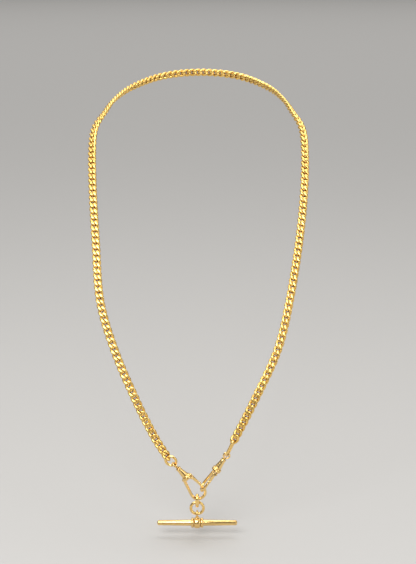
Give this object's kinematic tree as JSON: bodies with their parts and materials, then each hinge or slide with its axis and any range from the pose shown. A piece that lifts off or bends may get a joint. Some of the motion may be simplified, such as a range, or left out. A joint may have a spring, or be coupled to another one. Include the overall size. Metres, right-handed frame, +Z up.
{
  "type": "curb link watch chain",
  "caption": "Curb link watch chain worn round the neck, with a sprung dog clip at each end hooked together and a T-bar hanging from a ring.",
  "frame": {"origin": "middle of the nape run, on the chain's centreline", "axes": "+Z up, front faces -Y, +X to the right as seen from the front"},
  "size_m": [0.1005, 0.1356, 0.1873],
  "materials": {
    "gold": "polished yellow gold with fine wear",
    "pale_gold": "polished pin"
  },
  "bodies": {
    "neck": {"left_neck_run_01": "gold", "left_neck_run_02": "gold", "left_neck_run_03": "gold", "left_neck_run_04": "gold", "left_neck_run_05": "gold", "left_neck_run_06": "gold", "right_neck_run_01": "gold", "right_neck_run_02": "gold", "right_neck_run_03": "gold", "right_neck_run_04": "gold", "right_neck_run_05": "gold", "right_neck_run_06": "gold"},
    "left_run_01": {"left_strand_run_01": "gold"},
    "right_run_01": {"right_strand_run_01": "gold"},
    "left_run_02": {"left_strand_run_02": "gold"},
    "right_run_02": {"right_strand_run_02": "gold"},
    "left_run_03": {"left_strand_run_03": "gold"},
    "right_run_03": {"right_strand_run_03": "gold"},
    "left_run_04": {"left_strand_run_04": "gold"},
    "right_run_04": {"right_strand_run_04": "gold"},
    "left_run_05": {"left_strand_run_05": "gold"},
    "right_run_05": {"right_strand_run_05": "gold"},
    "left_run_06": {"left_strand_run_06": "gold"},
    "right_run_06": {"right_strand_run_06": "gold"},
    "left_run_07": {"left_strand_run_07": "gold"},
    "right_run_07": {"right_strand_run_07": "gold"},
    "left_run_08": {"left_strand_run_08": "gold"},
    "right_run_08": {"right_strand_run_08": "gold"},
    "left_run_09": {"left_strand_run_09": "gold"},
    "right_run_09": {"right_strand_run_09": "gold"},
    "left_run_10": {"left_strand_run_10": "gold"},
    "right_run_10": {"right_strand_run_10": "gold"},
    "left_run_11": {"left_strand_run_11": "gold"},
    "right_run_11": {"right_strand_run_11": "gold", "end_link": "gold"},
    "left_clip": {"left_clip_body": "gold", "left_clip_gate_pin": "pale_gold"},
    "left_gate": {"left_clip_gate": "gold"},
    "left_eye": {"left_clip_swivel_eye": "gold"},
    "right_clip": {"right_clip_body": "gold", "right_clip_gate_pin": "pale_gold"},
    "right_gate": {"right_clip_gate": "gold"},
    "right_eye": {"right_clip_swivel_eye": "gold"},
    "jump_ring": {"jump_ring": "gold"},
    "t_link": {"t_link": "gold"},
    "t_ring": {"t_ring": "gold"},
    "t_bar": {"t_bar_eye": "gold", "t_bar_rod": "gold", "t_bar_sleeve": "gold", "t_bar_band_left": "gold", "t_bar_band_right": "gold"}
  },
  "joints": [
    {"name": "left_gate_open", "type": "hinge", "parent": "left_clip", "child": "left_gate", "pos_m": [-0.00286, -0.1306, -0.16137], "axis": [0, 1, 0], "range_deg": [0, 20], "stiffness_Nm_per_rad": 0.002, "springref_deg": -28.65},
    {"name": "right_gate_open", "type": "hinge", "parent": "right_clip", "child": "right_gate", "pos_m": [0.00682, -0.13301, -0.1588], "axis": [0.8241, 0, -0.5664], "range_deg": [0, 20], "stiffness_Nm_per_rad": 0.002, "springref_deg": -28.65},
    {"name": "t_link_swing", "type": "hinge", "parent": "left_clip", "child": "t_link", "pos_m": [-0.00077, -0.1306, -0.17174], "axis": [1, 0, 0], "range_deg": [-50, 50]},
    {"name": "t_ring_swing", "type": "hinge", "parent": "t_link", "child": "t_ring", "pos_m": [-0.00077, -0.1306, -0.17491], "axis": [0, 1, 0], "range_deg": [-50, 50]},
    {"name": "t_bar_swing", "type": "hinge", "parent": "t_ring", "child": "t_bar", "pos_m": [-0.00077, -0.1306, -0.179], "axis": [1, 0, 0], "range_deg": [-60, 60]},
    {"name": "jump_ring_turn", "type": "hinge", "parent": "left_clip", "child": "jump_ring", "pos_m": [-0.01211, -0.1306, -0.15374], "axis": [-0.2562, -0.9395, -0.2275], "continuous": true},
    {"name": "left_eye_swivel", "type": "hinge", "parent": "left_clip", "child": "left_eye", "pos_m": [-0.01039, -0.1306, -0.15568], "axis": [0.6639, 0, -0.7478], "range_deg": [-20, 20]},
    {"name": "right_eye_swivel", "type": "hinge", "parent": "right_clip", "child": "right_eye", "pos_m": [0.01198, -0.1306, -0.15129], "axis": [-0.5654, -0.0609, -0.8226], "range_deg": [-15, 15]},
    {"name": "left_clip_swing", "type": "hinge", "parent": "left_run_11", "child": "left_clip", "pos_m": [-0.0133, -0.1306, -0.15144], "axis": [1, 0, 0], "range_deg": [-8, 8]},
    {"name": "right_clip_swing", "type": "hinge", "parent": "right_run_11", "child": "right_clip", "pos_m": [0.01228, -0.1306, -0.15144], "axis": [1, 0, 0], "range_deg": [-8, 8]},
    {"name": "left_bend_01", "type": "hinge", "parent": "neck", "child": "left_run_01", "pos_m": [-0.04775, -0.08087, -0.04626], "axis": [1, 0, 0], "range_deg": [-15, 0]},
    {"name": "right_bend_01", "type": "hinge", "parent": "neck", "child": "right_run_01", "pos_m": [0.04692, -0.08087, -0.04626], "axis": [1, 0, 0], "range_deg": [-15, 0]},
    {"name": "left_bend_02", "type": "hinge", "parent": "left_run_01", "child": "left_run_02", "pos_m": [-0.04679, -0.08756, -0.0555], "axis": [1, 0, 0], "range_deg": [-15, 0]},
    {"name": "right_bend_02", "type": "hinge", "parent": "right_run_01", "child": "right_run_02", "pos_m": [0.04573, -0.08756, -0.0555], "axis": [1, 0, 0], "range_deg": [-15, 0]},
    {"name": "left_bend_03", "type": "hinge", "parent": "left_run_02", "child": "left_run_03", "pos_m": [-0.04575, -0.09402, -0.06487], "axis": [1, 0, 0], "range_deg": [-15, 0]},
    {"name": "right_bend_03", "type": "hinge", "parent": "right_run_02", "child": "right_run_03", "pos_m": [0.04422, -0.09402, -0.06487], "axis": [1, 0, 0], "range_deg": [-15, 0]},
    {"name": "left_bend_04", "type": "hinge", "parent": "left_run_03", "child": "left_run_04", "pos_m": [-0.04489, -0.10045, -0.07425], "axis": [1, 0, 0], "range_deg": [-15, 0]},
    {"name": "right_bend_04", "type": "hinge", "parent": "right_run_03", "child": "right_run_04", "pos_m": [0.04242, -0.10045, -0.07425], "axis": [1, 0, 0], "range_deg": [-15, 0]},
    {"name": "left_bend_05", "type": "hinge", "parent": "left_run_04", "child": "left_run_05", "pos_m": [-0.0438, -0.10668, -0.08373], "axis": [1, 0, 0], "range_deg": [-15, 0]},
    {"name": "right_bend_05", "type": "hinge", "parent": "right_run_04", "child": "right_run_05", "pos_m": [0.04038, -0.10668, -0.08373], "axis": [1, 0, 0], "range_deg": [-15, 0]},
    {"name": "left_bend_06", "type": "hinge", "parent": "left_run_05", "child": "left_run_06", "pos_m": [-0.04155, -0.11233, -0.09342], "axis": [1, 0, 0], "range_deg": [-15, 0]},
    {"name": "right_bend_06", "type": "hinge", "parent": "right_run_05", "child": "right_run_06", "pos_m": [0.03809, -0.11233, -0.09342], "axis": [1, 0, 0], "range_deg": [-15, 0]},
    {"name": "left_bend_07", "type": "hinge", "parent": "left_run_06", "child": "left_run_07", "pos_m": [-0.03801, -0.11723, -0.10328], "axis": [1, 0, 0], "range_deg": [-15, 0]},
    {"name": "right_bend_07", "type": "hinge", "parent": "right_run_06", "child": "right_run_07", "pos_m": [0.03535, -0.11723, -0.10328], "axis": [1, 0, 0], "range_deg": [-15, 0]},
    {"name": "left_bend_08", "type": "hinge", "parent": "left_run_07", "child": "left_run_08", "pos_m": [-0.03388, -0.12185, -0.11293], "axis": [1, 0, 0], "range_deg": [-15, 0]},
    {"name": "right_bend_08", "type": "hinge", "parent": "right_run_07", "child": "right_run_08", "pos_m": [0.03131, -0.12185, -0.11293], "axis": [1, 0, 0], "range_deg": [-15, 0]},
    {"name": "left_bend_09", "type": "hinge", "parent": "left_run_08", "child": "left_run_09", "pos_m": [-0.02924, -0.12611, -0.12239], "axis": [1, 0, 0], "range_deg": [-15, 0]},
    {"name": "right_bend_09", "type": "hinge", "parent": "right_run_08", "child": "right_run_09", "pos_m": [0.02628, -0.12611, -0.12239], "axis": [1, 0, 0], "range_deg": [-15, 0]},
    {"name": "left_bend_10", "type": "hinge", "parent": "left_run_09", "child": "left_run_10", "pos_m": [-0.02438, -0.12915, -0.13223], "axis": [1, 0, 0], "range_deg": [-15, 0]},
    {"name": "right_bend_10", "type": "hinge", "parent": "right_run_09", "child": "right_run_10", "pos_m": [0.02118, -0.12915, -0.13223], "axis": [1, 0, 0], "range_deg": [-15, 0]},
    {"name": "left_bend_11", "type": "hinge", "parent": "left_run_10", "child": "left_run_11", "pos_m": [-0.01923, -0.13057, -0.14236], "axis": [1, 0, 0], "range_deg": [-12, 12]},
    {"name": "right_bend_11", "type": "hinge", "parent": "right_run_10", "child": "right_run_11", "pos_m": [0.01602, -0.13057, -0.14236], "axis": [1, 0, 0], "range_deg": [-12, 12]}
  ],
  "couplings": [
    {"joint": "right_bend_01", "follows": "left_bend_01", "ratio": 1},
    {"joint": "right_bend_02", "follows": "left_bend_02", "ratio": 1},
    {"joint": "right_bend_03", "follows": "left_bend_03", "ratio": 1},
    {"joint": "right_bend_04", "follows": "left_bend_04", "ratio": 1},
    {"joint": "right_bend_05", "follows": "left_bend_05", "ratio": 1},
    {"joint": "right_bend_06", "follows": "left_bend_06", "ratio": 1},
    {"joint": "right_bend_07", "follows": "left_bend_07", "ratio": 1},
    {"joint": "right_bend_08", "follows": "left_bend_08", "ratio": 1},
    {"joint": "right_bend_09", "follows": "left_bend_09", "ratio": 1},
    {"joint": "right_bend_10", "follows": "left_bend_10", "ratio": 1},
    {"joint": "right_bend_11", "follows": "left_bend_11", "ratio": 1},
    {"joint": "right_clip_swing", "follows": "left_clip_swing", "ratio": 1}
  ]
}
